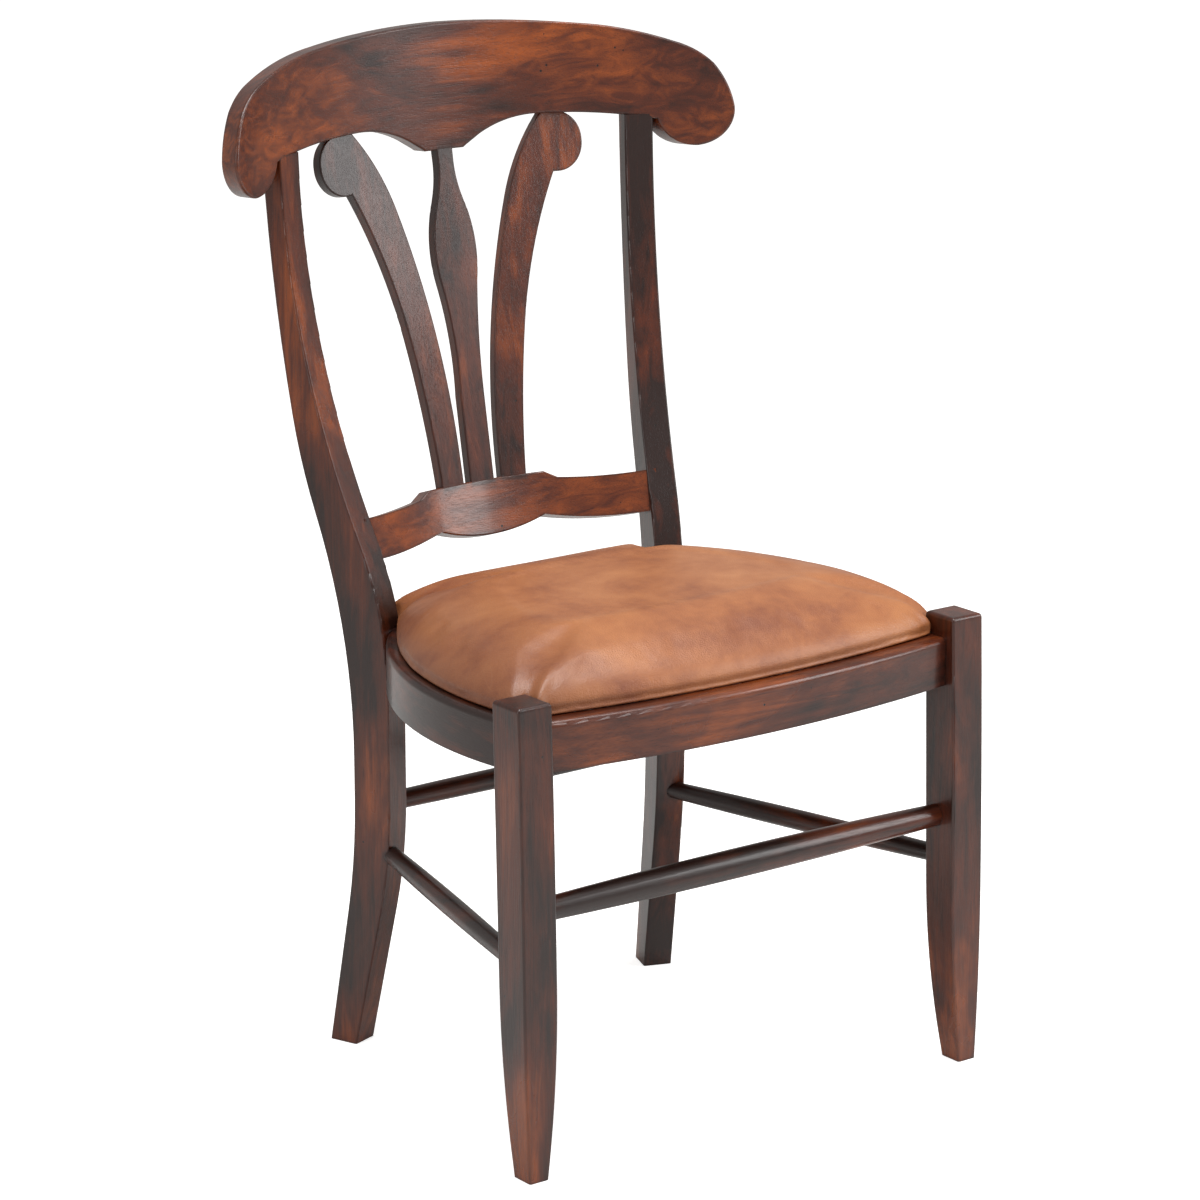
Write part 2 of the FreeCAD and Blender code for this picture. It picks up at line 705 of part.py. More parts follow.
def seat_plan(inset, notch):
    """The seat's outline drawn in by an inset; the notches at legs and posts fade as notch falls."""
    leg_side = f"({LEG_IN} - seat_clearance - {inset})"
    leg_rear = f"({LEG_BACK} + seat_clearance + {inset})"
    front = f"({SEAT_FRONT_RADIUS} - {inset})"
    side = f"({SEAT_SIDE_RADIUS} - {inset})"
    front_y = f"({FRONT_CENTRE} - sqrt({front} ^ 2 - {leg_side} ^ 2))"
    side_x = f"({SIDE_X} + sqrt({side} ^ 2 - ({leg_rear} - {SIDE_Y}) ^ 2))"
    post_line = f"({POST_FACE} - {inset})"
    side_across = f"({SIDE_ACROSS} + sqrt({side} ^ 2 - ({post_line} - {SIDE_BACK}) ^ 2))"
    side_end = on_post(side_across, post_line)
    post_inner = on_post(f"(-seat_clearance - {inset})", post_line)
    rear = f"({SEAT_REAR} - {inset})"
    rear_back = f"(({rear} - {POST_Y} - (seat_clearance + {inset}) * sin(post_turn)) / cos(post_turn))"
    rear_corner = (on_post(f"(-seat_clearance - {inset})", rear_back)[0], rear)

    def faded(inner, one, other):
        return tuple(
            f"({notch} * {a} + (1 - {notch}) * ({b} + {c}) / 2)" for a, b, c in zip(inner, one, other)
        )

    half = [
        (leg_side, front_y),
        faded((leg_side, leg_rear), (leg_side, front_y), (side_x, leg_rear)),
        (side_x, leg_rear, "left", side),
        side_end,
        faded(post_inner, side_end, rear_corner),
        rear_corner,
    ]
    plan = mirrored(half)
    plan[-1] += ("left", front)
    return plan


def seat_form(name, gap, low):
    """The crowned seat, drawn in at the foot of its sides, with a gap all round for what covers it."""
    body = block_of(name)
    edge = "(frame_height + seat_edge_height)"
    levels = [
        (low, "seat_bulge", "1"),
        (f"{edge} - 8", "0", "1"),
        (edge, "1", "0.9"),
        (f"{edge} + seat_crown * 0.34", "9", "0.7"),
        (f"{edge} + seat_crown * 0.66", "30", "0.4"),
        (f"{edge} + seat_crown * 0.88", "65", "0.1"),
        (f"{edge} + seat_crown", "110", "0"),
    ]
    sketches = []
    for place, (level, inset, notch) in enumerate(levels):
        height = level if place == 0 else f"{level} - {gap}"
        sketches.append(sketch_on(body, "XY", height, seat_plan(f"({inset} + {gap})", notch)))
    loft = body.newObject("PartDesign::AdditiveLoft", "crowned")
    loft.Profile = sketches[0]
    loft.Sections = sketches[1:]
    doc.recompute()
    return body


def board():
    body = block_of("board_blank")
    inset = "(seat_bulge + leather_thickness + board_set_in)"
    padded(body, "XY", "frame_height + leather_thickness", "board_thickness", seat_plan(inset, "1"))
    return body


def seat_opening(name, inset, low, height):
    body = block_of(name)
    padded(body, "XY", low, height, seat_plan(inset, "1"))
    return body


# Corner blocks: straight bars glued and screwed across the corners of the frame
def corner_block(name, start, end):
    """A bar from a point on one rail to a point on the other, its ends let run into the rails."""
    body = block_of(name)
    (ax, ay), (bx, by) = start, end
    along = f"sqrt(({bx} - {ax}) ^ 2 + ({by} - {ay}) ^ 2)"
    turn = f"atan2({by} - {ay}; {bx} - {ax})"
    half = "block_thickness / 2"
    padded(body, "XY", "0", "block_height", rectangle("0", f"-{half}", along, half))
    placed(body, ax, ay, "frame_height - block_drop - block_height", ("0; 0; 1", turn))
    return body


def fastener(name, diameter, head_diameter, length, x, y, z, *turns):
    """A screw or bolt that points up its own axis from a flat head."""
    body = block_of(name)
    head_height = f"({head_diameter} / 3)"
    half_view = [
        ("0", f"-{head_height}"),
        (f"{head_diameter} / 2", f"-{head_height}"),
        (f"{head_diameter} / 2", "0"),
        (f"{diameter} / 2", "0"),
        (f"{diameter} / 2", f"{length} - {diameter} / 2"),
        ("0", length),
    ]
    turned = body.newObject("PartDesign::Revolution", "turned")
    turned.Profile = sketch_on(body, "XZ", "0", half_view)
    turned.ReferenceAxis = (turned.Profile[0], ["V_Axis"])
    turned.Angle = 360
    placed(body, x, y, z, *turns)
    return body


# Blanks of the members, right side first
leg_blank = front_leg()
post_blank = rear_post()
crest_blank = crest_rail()
back_rail_blank = lower_back_rail()
middle_splat = centre_splat()
side_splat_blank = side_splat()
front_rail_blank = front_rail()
side_rail_blank = side_rail()
rear_rail_blank = rear_rail()

# Stretchers between the legs, each turned on the line between the faces it meets
front_turning = stretcher("front_stretcher", LEG_IN, "front_stretcher_diameter", "front_stretcher_end")
placed(front_turning, "0", f"{LEG_FRONT} - leg_rake / 2 + front_stretcher_set_in", "front_stretcher_height")
REAR_LINE = f"({POST_Y} + rear_stretcher_setback)"
rear_turning = stretcher(
    "rear_stretcher", inside_posts(REAR_LINE), "rear_stretcher_diameter", "rear_stretcher_end"
)
placed(rear_turning, "0", REAR_LINE, "rear_stretcher_height")
FRONT_END = (f"({LEG_IN} + leg_width / 2)", LEG_BACK_LOW)
REAR_END = on_post("post_width - side_stretcher_set_in", "6")
side_length = f"sqrt(({FRONT_END[0]} - {REAR_END[0]}) ^ 2 + ({REAR_END[1]} - {FRONT_END[1]}) ^ 2)"
side_turn = f"atan2({REAR_END[1]} - {FRONT_END[1]}; {REAR_END[0]} - {FRONT_END[0]})"
side_turning = stretcher(
    "side_stretcher_blank", f"({side_length} / 2)", "side_stretcher_diameter", "side_stretcher_end"
)
placed(
    side_turning,
    f"({FRONT_END[0]} + {REAR_END[0]}) / 2",
    f"({FRONT_END[1]} + {REAR_END[1]}) / 2",
    "side_stretcher_height",
    ("0; 0; 1", side_turn),
)

# Corner blocks, right side: the front one spans front and side rail, the rear one side and rear rail
MIDDLE = "rail_thickness / 2"
front_x = f"({LEG_IN} - block_reach)"
front_y = f"({FRONT_CENTRE} - sqrt((front_rail_radius - {MIDDLE}) ^ 2 - {front_x} ^ 2))"


def on_side_rail(y):
    return f"({SIDE_X} + sqrt(({SIDE_RADIUS} - {MIDDLE}) ^ 2 - ({y} - {SIDE_Y}) ^ 2))", y


FRONT_BAR = ((front_x, front_y), on_side_rail(f"({LEG_BACK} + block_reach)"))
REAR_BAR = (
    on_side_rail(f"({POST_Y} - block_reach)"),
    (f"({POST_X} - block_reach)", f"({REAR_FRONT} + {REAR_BACK}) / 2"),
)
BLOCK_MIDDLE = "(frame_height - block_drop - block_height / 2)"


def bar_point(bar, share, off):
    """A point a share of the way along a bar and off to its right."""
    (ax, ay), (bx, by) = bar
    length = f"sqrt(({bx} - {ax}) ^ 2 + ({by} - {ay}) ^ 2)"
    x = f"({ax} + ({bx} - {ax}) * {share} + ({by} - {ay}) / {length} * ({off}))"
    y = f"({ay} + ({by} - {ay}) * {share} - ({bx} - {ax}) / {length} * ({off}))"
    return x, y


def corner_bolt(name, bar, corner):
    """A bolt square through the bar into the corner of the leg behind it."""
    (ax, ay), (bx, by) = bar
    length = f"sqrt(({bx} - {ax}) ^ 2 + ({by} - {ay}) ^ 2)"
    share = f"((({corner[0]} - {ax}) * ({bx} - {ax}) + ({corner[1]} - {ay}) * ({by} - {ay})) / {length} ^ 2)"
    reach = f"((({corner[0]} - {ax}) * ({by} - {ay}) - ({corner[1]} - {ay}) * ({bx} - {ax})) / {length})"
    x, y = bar_point(bar, share, "-block_thickness / 2")
    turn = f"atan2({by} - {ay}; {bx} - {ax})"
    bite = f"({reach} + block_thickness / 2 + bolt_bite)"
    return fastener(
        name, "bolt_diameter", "bolt_head_diameter", bite, x, y, BLOCK_MIDDLE,
        ("0; 0; 1", turn), ("1; 0; 0", "90"),
    )


def seat_screw(name, bar, share):
    x, y = bar_point(bar, share, "0")
    length = "(block_height + block_drop + leather_thickness + screw_bite)"
    return fastener(
        name, "screw_diameter", "screw_head_diameter", length, x, y,
        "frame_height - block_drop - block_height",
    )


front_block_bar = corner_block("front_block_bar", *FRONT_BAR)
rear_block_bar = corner_block("rear_block_bar", *REAR_BAR)
front_bolt = corner_bolt("front_bolt", FRONT_BAR, (LEG_IN, LEG_BACK))
rear_bolt = corner_bolt("rear_bolt", REAR_BAR, (POST_X, POST_Y))
front_screw = seat_screw("front_screw", FRONT_BAR, "0.33")
rear_screw = seat_screw("rear_screw", REAR_BAR, "0.5 - 0.22")


def group(label, *items):
    compound = doc.addObject("Part::Compound", label)
    compound.Links = list(items)
    doc.recompute()
    return kept(compound, label)


bolts = [front_bolt, rear_bolt]
screws = [front_screw, rear_screw]
bolts += [opposite(bolt) for bolt in bolts]
screws += [opposite(screw) for screw in screws]
group("corner_bolts", *bolts)
group("seat_screws", *screws)

# The lower back rail's ends are let whole into the posts
trim = block_of("trim")
trim_reach = "post_gap"
padded(trim, "XY", "post_bend_height / 2", "post_bend_height",
       rectangle("back_rail_housing", f"-{trim_reach}", f"back_rail_housing + {trim_reach}", trim_reach))
placed(trim, POST_X, POST_Y, "0", ("0; 0; 1", "-post_turn"))
housed_rail = fitted(back_rail_blank, [trim, opposite(trim)])

# Every member, cut to fit what enters it or passes through it
left_splat_blank = opposite(side_splat_blank)
splats = [middle_splat, side_splat_blank, left_splat_blank]
kept(middle_splat, "centre_splat")
kept(side_splat_blank, "right_splat")
kept(left_splat_blank, "left_splat")
fitted(housed_rail, splats, "lower_back_rail")
fitted(crest_blank, [post_blank, opposite(post_blank)] + splats, "crest_rail")

side_rail_right = fitted(side_rail_blank, [front_bolt, rear_bolt], "side_seat_rail_right")
opposite(side_rail_right, "side_seat_rail_left")
fitted(front_rail_blank, bolts, "front_seat_rail")
fitted(rear_rail_blank, bolts, "rear_seat_rail")
front_rails = [front_rail_blank, side_rail_blank, front_turning, side_turning, front_bolt]
leg_right = fitted(leg_blank, front_rails, "front_leg_right")
opposite(leg_right, "front_leg_left")
rear_rails = [side_rail_blank, rear_rail_blank, rear_turning, side_turning, housed_rail, rear_bolt]
post_right = fitted(post_blank, rear_rails, "rear_post_right")
opposite(post_right, "rear_post_left")
kept(front_turning, "front_stretcher")
kept(rear_turning, "rear_stretcher")
kept(side_turning, "side_stretcher_right")
opposite(side_turning, "side_stretcher_left")
front_block = fitted(
    front_block_bar, [front_rail_blank, side_rail_blank, front_bolt, front_screw], "front_corner_block_right"
)
opposite(front_block, "front_corner_block_left")
rear_block = fitted(
    rear_block_bar, [side_rail_blank, rear_rail_blank, rear_bolt, rear_screw], "rear_corner_block_right"
)
opposite(rear_block, "rear_corner_block_left")

# The seat: board at the bottom, foam over it, leather over all and turned under the board's edge
seat_board = board()
leather_form = seat_form("leather_form", "0", "frame_height")
inside_form = seat_form("inside_form", "leather_thickness", "frame_height + leather_thickness")
foam_gap = "(leather_thickness + soft_clearance)"
foam_form = seat_form("foam_form", foam_gap, f"frame_height + {foam_gap}")
opening_inset = "(seat_bulge + leather_turnunder)"
opening = seat_opening("opening", opening_inset, "frame_height - 1", "leather_thickness + 2")
fitted(leather_form, [inside_form, opening] + screws, "seat_leather")
fitted(foam_form, [seat_board], "seat_foam")
fitted(seat_board, screws, "seat_board")
cover = seat_opening(
    "cover", f"({opening_inset} + soft_clearance)",
    "frame_height + leather_thickness - dust_cover_thickness", "dust_cover_thickness",
)
fitted(cover, screws, "dust_cover")

# Nothing is written unless every feature and every piece came out whole
doc.recompute()
for item in doc.Objects:
    if "Invalid" in item.State or "Error" in item.State:
        raise RuntimeError(f"{item.Name} failed: {item.State}")
for piece in pieces:
    if piece.Shape.isNull() or not piece.Shape.isValid():
        raise RuntimeError(f"{piece.Label} has no sound solid")

os.makedirs("parts", exist_ok=True)
for piece in pieces:
    piece.Shape.exportStep(f"parts/{piece.Label}.step")
    print(piece.Label, len(piece.Shape.Solids), round(piece.Shape.Volume / 1000, 1))
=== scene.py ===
import math

import bmesh
import bpy
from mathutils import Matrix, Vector
from mathutils.bvhtree import BVHTree


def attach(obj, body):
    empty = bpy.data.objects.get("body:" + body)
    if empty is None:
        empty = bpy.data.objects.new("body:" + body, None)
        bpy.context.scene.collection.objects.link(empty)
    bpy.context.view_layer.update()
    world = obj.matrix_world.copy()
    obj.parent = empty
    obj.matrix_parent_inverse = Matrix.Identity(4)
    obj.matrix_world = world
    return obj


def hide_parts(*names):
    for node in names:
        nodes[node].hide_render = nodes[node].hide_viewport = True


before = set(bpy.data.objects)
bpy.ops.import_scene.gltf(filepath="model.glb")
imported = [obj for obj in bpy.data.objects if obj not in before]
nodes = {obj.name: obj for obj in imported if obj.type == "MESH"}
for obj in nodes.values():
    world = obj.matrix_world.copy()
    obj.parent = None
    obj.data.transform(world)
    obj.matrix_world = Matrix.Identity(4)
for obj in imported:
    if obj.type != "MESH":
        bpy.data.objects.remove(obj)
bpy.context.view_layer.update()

# Farmhouse dining chair in stained cherry with a leather seat. Sections follow one another so: the
# studio, the stained wood, the plain stuff under the seat, the bolts and screws, the leather seat.

scene = bpy.context.scene


# The studio: a pale floor under white light, seen from the front left at a little above seat
# height with a long lens. The camera's place and turn were worked out from the photograph.
def linear(hex_colour, alpha=1.0):
    """An sRGB hex colour as the linear values that a shader works in."""
    channels = [int(hex_colour[place:place + 2], 16) / 255 for place in (1, 3, 5)]
    return [c / 12.92 if c <= 0.04045 else ((c + 0.055) / 1.055) ** 2.4 for c in channels] + [alpha]


def add(tree, kind, settings=(), links=(), values=()):
    """Add a node to a tree with its settings, its input values and the links into it."""
    node = tree.nodes.new(kind)
    for name, value in dict(settings).items():
        setattr(node, name, value)
    for name, value in dict(values).items():
        node.inputs[name].default_value = value
    for name, output in dict(links).items():
        tree.links.new(output, node.inputs[name])
    return node


CAMERA_PLACE = (-2.549, -3.4246, 1.6181)
CAMERA_TURN = (90 - 15.04, 0, -36.78)
LENS = 131.2

camera_data = bpy.data.cameras.new("camera")
camera_data.lens = LENS
camera_data.sensor_width = 36
camera = bpy.data.objects.new("camera", camera_data)
camera.location = CAMERA_PLACE
camera.rotation_euler = [math.radians(angle) for angle in CAMERA_TURN]
scene.collection.objects.link(camera)
scene.camera = camera
scene.view_settings.view_transform = "Standard"


def white_where_seen(tree, seen, lit):
    """White where the camera or a clear body shows it, and something else as light and in a gloss."""
    path = add(tree, "ShaderNodeLightPath")
    shown = add(tree, "ShaderNodeMath", {"operation": "MAXIMUM"},
                {0: path.outputs["Is Camera Ray"], 1: path.outputs["Is Transmission Ray"]})
    return add(tree, "ShaderNodeMixShader", (), {0: shown.outputs[0], 1: lit, 2: seen})


def new_material(name):
    """A material with an empty tree, and that tree."""
    material = bpy.data.materials.new(name)
    material.use_nodes = True
    material.node_tree.nodes.clear()
    return material, material.node_tree


WHITE = (1, 1, 1, 1)
ROOM_LIGHT = (1, 0.98, 0.96, 1)
ROOM_STRENGTH = 0.42
world = bpy.data.worlds.new("studio")
scene.world = world
world.use_nodes = True
world.node_tree.nodes.clear()
world_seen = add(world.node_tree, "ShaderNodeBackground", (), (), {"Color": WHITE, "Strength": 1.0})
world_lit = add(world.node_tree, "ShaderNodeBackground", (), (),
                {"Color": ROOM_LIGHT, "Strength": ROOM_STRENGTH})
world_mix = white_where_seen(world.node_tree, world_seen.outputs[0], world_lit.outputs[0])
add(world.node_tree, "ShaderNodeOutputWorld", (), {"Surface": world_mix.outputs[0]})

floor_mesh = bpy.data.meshes.new("floor")
FLOOR_REACH = 9.0
FLOOR_SINK = 0.0004
FLOOR_GLOW = 0.72
corners = [(x * FLOOR_REACH, y * FLOOR_REACH, -FLOOR_SINK) for x, y in ((-1, -1), (1, -1), (1, 1), (-1, 1))]
floor_mesh.from_pydata(corners, [], [(0, 1, 2, 3)])
floor = bpy.data.objects.new("floor", floor_mesh)
scene.collection.objects.link(floor)
floor_paint, floor_tree = new_material("white_painted_floor")
floor_diffuse = add(floor_tree, "ShaderNodeBsdfDiffuse", (), (), {"Color": linear("#F2F1EF")})
floor_white = add(floor_tree, "ShaderNodeEmission", (), (), {"Color": WHITE, "Strength": FLOOR_GLOW})
floor_sum = add(floor_tree, "ShaderNodeAddShader", (),
                {0: floor_diffuse.outputs[0], 1: floor_white.outputs[0]})
floor_mix = white_where_seen(floor_tree, floor_sum.outputs[0], floor_diffuse.outputs[0])
add(floor_tree, "ShaderNodeOutputMaterial", (), {"Surface": floor_mix.outputs[0]})
floor_mesh.materials.append(floor_paint)


def soft_box(name, place, aim, size, power):
    """A large soft lamp that points at a spot of the chair."""
    lamp = bpy.data.lights.new(name, "AREA")
    lamp.shape = "RECTANGLE"
    lamp.size, lamp.size_y = size
    lamp.energy = power
    item = bpy.data.objects.new(name, lamp)
    item.location = place
    item.rotation_euler = (Vector(aim) - Vector(place)).to_track_quat("-Z", "Y").to_euler()
    scene.collection.objects.link(item)


soft_box("overhead", (0.1, -0.5, 3.0), (0, 0, 0.5), (2.2, 1.4), 60)
soft_box("front_right", (2.4, -2.2, 1.9), (0, 0, 0.6), (1.2, 1.8), 40)
soft_box("left", (-2.8, -0.6, 1.5), (0, 0, 0.6), (0.6, 1.8), 16)


# Stained cherry: planed, sanded, stained dark, rubbed through where hands would wear it, then
# waxed. The eye sees a deep red brown with warmer fields, fine pores and worm holes; the dark
# arrises are painted shade.
# The darkest stain colour, which also serves as painted shade along the arrises
DARK_STAIN_AND_SHADE = "#230D07"
MIDDLE_STAIN = "#55230F"
WARM_STAIN = "#96491A"
PORE = "#160905"
MILLIMETRE = 0.001
FIELD_SIZE = 110 * MILLIMETRE
FIGURE_SIZE = 16 * MILLIMETRE
PORE_WIDTH = 0.9 * MILLIMETRE
WORM_SPACING = 13 * MILLIMETRE
# How far the painted shade reaches in from each arris
EDGE_SHADE_WIDTH = 5 * MILLIMETRE
FIELD_STRETCH = 0.45
FIGURE_STRETCH = 0.09
PORE_STRETCH = 0.035
WARMTH_SHIFT = 0.35
WORM_REACH = 0.105
WOOD_RELIEF = 0.6 * MILLIMETRE


def stained_cherry(name, along, warmth=0.5):
    """Stained and waxed cherry whose grain runs along one axis; warmth is how much stain is rubbed off."""
    material, tree = new_material(name)
    place = add(tree, "ShaderNodeTexCoord").outputs["Object"]

    def drawn_out(share):
        """The place, drawn out along the grain."""
        scale = [share if axis == along else 1.0 for axis in "XYZ"]
        return add(tree, "ShaderNodeMapping", (), {"Vector": place}, {"Scale": scale}).outputs[0]

    # Broad fields where the stain took lightly or was rubbed back, with the wood's figure in them
    fields = add(tree, "ShaderNodeTexNoise", (), {"Vector": drawn_out(FIELD_STRETCH)},
                 {"Scale": 1 / FIELD_SIZE, "Detail": 4, "Roughness": 0.55, "Distortion": 0.6})
    figure = add(tree, "ShaderNodeTexNoise", (), {"Vector": drawn_out(FIGURE_STRETCH)},
                 {"Scale": 1 / FIGURE_SIZE, "Detail": 5, "Roughness": 0.6, "Distortion": 1.4})
    figure_part = add(tree, "ShaderNodeMath", {"operation": "MULTIPLY_ADD"},
                      {0: figure.outputs["Fac"]}, {1: 0.5, 2: -0.19})
    tone = add(tree, "ShaderNodeMath", {"operation": "ADD"},
               {0: fields.outputs["Fac"], 1: figure_part.outputs[0]})
    ramp = add(tree, "ShaderNodeValToRGB", (), {"Fac": tone.outputs[0]})
    stops = ramp.color_ramp.elements
    stops[0].position, stops[0].color = 0.62 - warmth * WARMTH_SHIFT, linear(DARK_STAIN_AND_SHADE)
    stops[1].position, stops[1].color = 1.02 - warmth * WARMTH_SHIFT, linear(WARM_STAIN)
    middle = stops.new(0.80 - warmth * WARMTH_SHIFT)
    middle.color = linear(MIDDLE_STAIN)

    # Fine dark pores along the grain
    pores = add(tree, "ShaderNodeTexNoise", (), {"Vector": drawn_out(PORE_STRETCH)},
                {"Scale": 1 / PORE_WIDTH, "Detail": 2, "Roughness": 0.6})
    pore_mask = add(tree, "ShaderNodeMapRange", (), {"Value": pores.outputs["Fac"]},
                    {"From Min": 0.50, "From Max": 0.72, "To Min": 0, "To Max": 0.42})
    pored = add(tree, "ShaderNodeMix", {"data_type": "RGBA"},
                {0: pore_mask.outputs[0], 6: ramp.outputs["Color"]}, {7: linear(PORE)})

    # Worm holes and small dents, in scattered clusters
    holes = add(tree, "ShaderNodeTexVoronoi", (), {"Vector": place},
                {"Scale": 1 / WORM_SPACING, "Randomness": 1.0})
    clusters = add(tree, "ShaderNodeTexNoise", (), {"Vector": place}, {"Scale": 22, "Detail": 1})
    reach = add(tree, "ShaderNodeMapRange", (), {"Value": clusters.outputs["Fac"]},
                {"From Min": 0.50, "From Max": 0.72, "To Min": 0.0, "To Max": WORM_REACH})
    hole = add(tree, "ShaderNodeMath", {"operation": "LESS_THAN"},
               {0: holes.outputs["Distance"], 1: reach.outputs[0]})
    holed = add(tree, "ShaderNodeMix", {"data_type": "RGBA"},
                {0: hole.outputs[0], 6: pored.outputs[2]}, {7: linear(PORE)})

    # Painted shade: the arrises are darkened towards the darkest stain colour
    rounded = add(tree, "ShaderNodeBevel", {"samples": 4}, (), {"Radius": EDGE_SHADE_WIDTH})
    flat = add(tree, "ShaderNodeNewGeometry")
    likeness = add(tree, "ShaderNodeVectorMath", {"operation": "DOT_PRODUCT"},
                   {0: rounded.outputs[0], 1: flat.outputs["Normal"]})
    edge_shade_mask = add(tree, "ShaderNodeMapRange", (), {"Value": likeness.outputs["Value"]},
                {"From Min": 0.995, "From Max": 0.86, "To Min": 0, "To Max": 0.85})
    shade_edged = add(tree, "ShaderNodeMix", {"data_type": "RGBA"},
                {0: edge_shade_mask.outputs[0], 6: holed.outputs[2]}, {7: linear(DARK_STAIN_AND_SHADE)})

    # Waxed surface: grain and holes stand in slight relief
    relief = add(tree, "ShaderNodeMath", {"operation": "ADD"}, {0: pore_mask.outputs[0], 1: hole.outputs[0]})
    bump = add(tree, "ShaderNodeBump", {"invert": True}, {"Height": relief.outputs[0]},
               {"Strength": 0.35, "Distance": WOOD_RELIEF})
    gloss = add(tree, "ShaderNodeMapRange", (), {"Value": fields.outputs["Fac"]},
                {"From Min": 0.3, "From Max": 0.7, "To Min": 0.38, "To Max": 0.26})
    shader = add(tree, "ShaderNodeBsdfPrincipled", (),
                 {"Base Color": shade_edged.outputs[2], "Roughness": gloss.outputs[0], "Normal": bump.outputs[0]},
                 {"IOR": 1.5, "Coat Weight": 0.3, "Coat Roughness": 0.12})
    add(tree, "ShaderNodeOutputMaterial", (), {"Surface": shader.outputs[0]})
    return material


def finish_node(name, material):
    """Give a CAD node one material in all its slots."""
    mesh = nodes[name].data
    if not mesh.materials:
        mesh.materials.append(material)
    for place in range(len(nodes[name].material_slots)):
        nodes[name].material_slots[place].material = material


crest_wood = stained_cherry("stained_cherry_crest", "X", 0.62)
upright_wood = stained_cherry("stained_cherry_uprights", "Z", 0.5)
splat_wood = stained_cherry("stained_cherry_splats", "Z", 0.6)
rail_wood = stained_cherry("stained_cherry_rails", "X", 0.42)
side_wood = stained_cherry("stained_cherry_side_rails", "Y", 0.3)

for name in ("crest_rail", "lower_back_rail"):
    finish_node(name, crest_wood)
for name in ("centre_splat", "left_splat", "right_splat"):
    finish_node(name, splat_wood)
for name in ("front_leg_left", "front_leg_right", "rear_post_left", "rear_post_right"):
    finish_node(name, upright_wood)
for name in ("front_seat_rail", "rear_seat_rail", "front_stretcher", "rear_stretcher"):
    finish_node(name, rail_wood)
for name in ("side_seat_rail_left", "side_seat_rail_right", "side_stretcher_left", "side_stretcher_right"):
    finish_node(name, side_wood)


# Corner blocks, seat board, foam and dust cover: the plain stuff under and inside the seat. The
# blocks are sawn beech, the board birch plywood, and black cambric closes the seat from below.
def plain_stuff(name, light, dark, grain, pattern_size, roughness, relief):
    """Two close colours in a noise pattern that is stretched along one axis, with a slight relief."""
    material, tree = new_material(name)
    place = add(tree, "ShaderNodeTexCoord").outputs["Object"]
    spread = add(tree, "ShaderNodeMapping", (), {"Vector": place}, {"Scale": grain}).outputs[0]
    noise = add(tree, "ShaderNodeTexNoise", (), {"Vector": spread},
                {"Scale": 1 / pattern_size, "Detail": 4, "Roughness": 0.6})
    blend = add(tree, "ShaderNodeMapRange", (), {"Value": noise.outputs["Fac"]},
                {"From Min": 0.35, "From Max": 0.65})
    colour = add(tree, "ShaderNodeMix", {"data_type": "RGBA"},
                 {0: blend.outputs[0]}, {6: linear(dark), 7: linear(light)})
    bump = add(tree, "ShaderNodeBump", (), {"Height": noise.outputs["Fac"]},
               {"Strength": 0.4, "Distance": relief})
    shader = add(tree, "ShaderNodeBsdfPrincipled", (),
                 {"Base Color": colour.outputs[2], "Normal": bump.outputs[0]}, {"Roughness": roughness})
    add(tree, "ShaderNodeOutputMaterial", (), {"Surface": shader.outputs[0]})
    return material


ALONG_X = (0.08, 1, 1)
EVEN = (1, 1, 1)
FINE = 0.3 * MILLIMETRE
sawn_beech = plain_stuff("sawn_beech", "#C9A57C", "#A67F56", ALONG_X, 9 * MILLIMETRE, 0.62, 0.4 * MILLIMETRE)
birch_plywood = plain_stuff("birch_plywood", "#D2B48A", "#B8925F", ALONG_X, 12 * MILLIMETRE, 0.6, FINE)
seat_foam_stuff = plain_stuff("cut_polyurethane_foam", "#E4D9A8", "#D2C48C", EVEN, 2 * MILLIMETRE, 0.9,
                              0.6 * MILLIMETRE)
black_cambric = plain_stuff("woven_black_cambric", "#232220", "#121110", EVEN, 0.8 * MILLIMETRE, 0.85, FINE)

for place in ("front", "rear"):
    for side in ("left", "right"):
        finish_node(f"{place}_corner_block_{side}", sawn_beech)
finish_node("seat_board", birch_plywood)
finish_node("dust_cover", black_cambric)


# Bolts and screws: zinc-plated steel. The bolts draw the corner blocks to the legs and posts, and
# the screws hold the loose seat down on the blocks from below.
def zinc_plated(name, colour, roughness):
    """Steel with a dull bright plating that is smudged unevenly."""
    material, tree = new_material(name)
    place = add(tree, "ShaderNodeTexCoord").outputs["Object"]
    smudge = add(tree, "ShaderNodeTexNoise", (), {"Vector": place}, {"Scale": 260, "Detail": 3})
    dull = add(tree, "ShaderNodeMapRange", (), {"Value": smudge.outputs["Fac"]},
               {"To Min": roughness - 0.08, "To Max": roughness + 0.14})
    shader = add(tree, "ShaderNodeBsdfPrincipled", (), {"Roughness": dull.outputs[0]},
                 {"Base Color": linear(colour), "Metallic": 1.0})
    add(tree, "ShaderNodeOutputMaterial", (), {"Surface": shader.outputs[0]})
    return material


zinc_steel = zinc_plated("zinc_plated_steel", "#B9BBBA", 0.34)
finish_node("corner_bolts", zinc_steel)
finish_node("seat_screws", zinc_steel)


# Leather seat: one hide stretched over foam and board and turned under. Its sheet is laid on the
# seat's form and swelled by cloth pressure, then puckered over the front legs and made thick.
SEAT_CENTRE = Vector((0.0, -0.06))
TOP_CELLS = 80
SIDE_LEVELS = 6
TURNED_LEVELS = 3
TURNED_WIDTH = 26 * MILLIMETRE
SHOULDER_RISE = 20 * MILLIMETRE
RIM_INSET = 3 * MILLIMETRE
FOOT_RISE = 1 * MILLIMETRE
DOME_LIFT = 6 * MILLIMETRE
EDGE_DROP = 5 * MILLIMETRE
HIDE_THICKNESS = 1.2 * MILLIMETRE

